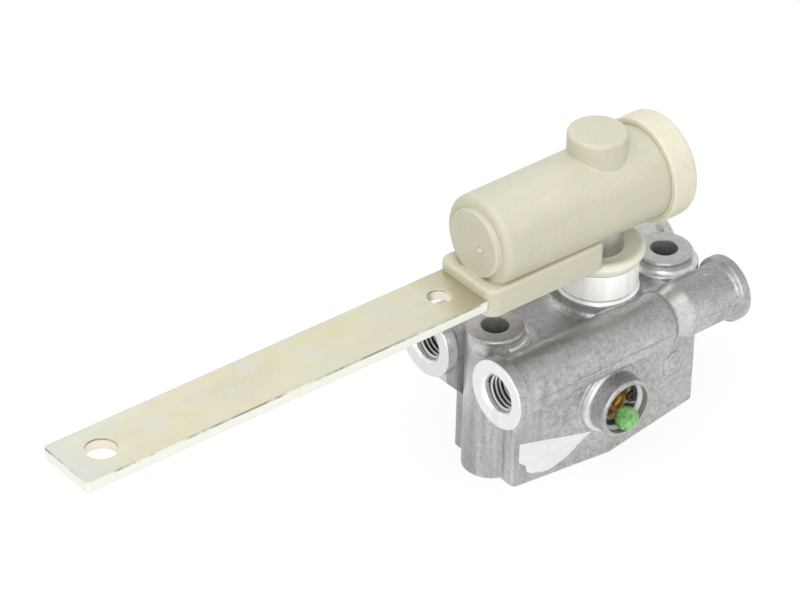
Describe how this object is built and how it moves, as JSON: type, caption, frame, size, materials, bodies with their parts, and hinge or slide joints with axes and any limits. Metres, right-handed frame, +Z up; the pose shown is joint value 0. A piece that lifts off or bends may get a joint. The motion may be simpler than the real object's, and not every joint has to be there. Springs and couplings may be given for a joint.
{
  "type": "air suspension levelling valve",
  "caption": "Levelling valve with a die-cast body, parallel air bores, and a swinging damper hub that carries a flat control lever.",
  "frame": {"origin": "control shaft axis at the mounting face", "axes": "+Z up the shaft, -X along the control lever, -Y out of the exhaust port"},
  "size_m": [0.2301, 0.0548, 0.1032],
  "materials": {
    "cast_aluminium": "die-cast, matt",
    "machined_aluminium": "turned",
    "nylon": "satin moulded",
    "cap_nylon": "satin moulded",
    "piston_plastic": "moulded",
    "green_plastic": "moulded",
    "zinc_steel": "yellow zinc-passivated",
    "shaft_steel": "ground",
    "spring_steel": "bright",
    "black_steel": "phosphated",
    "bronze": "plain",
    "rubber": "matt"
  },
  "bodies": {
    "housing": {"valve_body": "cast_aluminium", "shaft_bush": "bronze", "shaft_seal": "rubber", "dust_seal": "rubber", "bottom_cover": "machined_aluminium", "bottom_cover_seal": "rubber", "bottom_cover_ring": "black_steel", "exhaust_filter": "bronze", "exhaust_flap": "nylon", "exhaust_plug": "green_plastic", "exhaust_ring": "black_steel", "front_slide_seals": "rubber", "front_spring_plate": "spring_steel", "front_check_spring": "spring_steel", "front_check_seat": "bronze", "front_throttle": "bronze", "rear_slide_seals": "rubber", "rear_spring_plate": "spring_steel", "rear_check_spring": "spring_steel", "rear_check_seat": "bronze", "rear_throttle": "bronze"},
    "shaft": {"control_shaft": "shaft_steel", "hub_clip": "spring_steel", "rocker": "shaft_steel", "rocker_clip": "spring_steel"},
    "arm": {"damper_housing": "nylon", "damper_cap": "cap_nylon", "cap_seal": "rubber", "control_lever": "zinc_steel", "left_spring": "spring_steel", "right_spring": "spring_steel"},
    "piston": {"damper_piston": "piston_plastic", "piston_rings": "rubber"},
    "front_slide_body": {"front_slide": "bronze"},
    "rear_slide_body": {"rear_slide": "bronze"},
    "front_poppet_body": {"front_check_poppet": "bronze"},
    "rear_poppet_body": {"rear_check_poppet": "bronze"}
  },
  "joints": [
    {"name": "control_shaft_turn", "type": "hinge", "parent": "housing", "child": "shaft", "pos_m": [0, 0, 0.0428], "axis": [0, 0, 1], "range_deg": [-12, 12]},
    {"name": "arm_swing", "type": "hinge", "parent": "shaft", "child": "arm", "pos_m": [0, 0, 0.0589], "axis": [0, 0, 1], "range_deg": [-33, 33], "stiffness_Nm_per_rad": 0.08},
    {"name": "damper_piston_slide", "type": "slide", "parent": "arm", "child": "piston", "axis": [1, 0, 0], "range_m": [-0.003, 0.003], "deforming": ["left_spring", "right_spring"]},
    {"name": "front_slide_travel", "type": "slide", "parent": "housing", "child": "front_slide_body", "axis": [1, 0, 0], "range_m": [-0.0024, 0.0024]},
    {"name": "rear_slide_travel", "type": "slide", "parent": "housing", "child": "rear_slide_body", "axis": [1, 0, 0], "range_m": [-0.0024, 0.0024]},
    {"name": "front_check_lift", "type": "slide", "parent": "housing", "child": "front_poppet_body", "axis": [-1, 0, 0], "range_m": [0, 0.0012], "stiffness_N_per_m": 300, "springref_m": -0.0005, "deforming": ["front_check_spring"]},
    {"name": "rear_check_lift", "type": "slide", "parent": "housing", "child": "rear_poppet_body", "axis": [1, 0, 0], "range_m": [0, 0.0012], "stiffness_N_per_m": 300, "springref_m": -0.0005, "deforming": ["rear_check_spring"]}
  ],
  "couplings": [
    {"joint": "damper_piston_slide", "follows": "arm_swing", "m_per_rad": -0.005},
    {"joint": "front_slide_travel", "follows": "control_shaft_turn", "m_per_rad": 0.0109},
    {"joint": "rear_slide_travel", "follows": "control_shaft_turn", "m_per_rad": -0.0109}
  ]
}
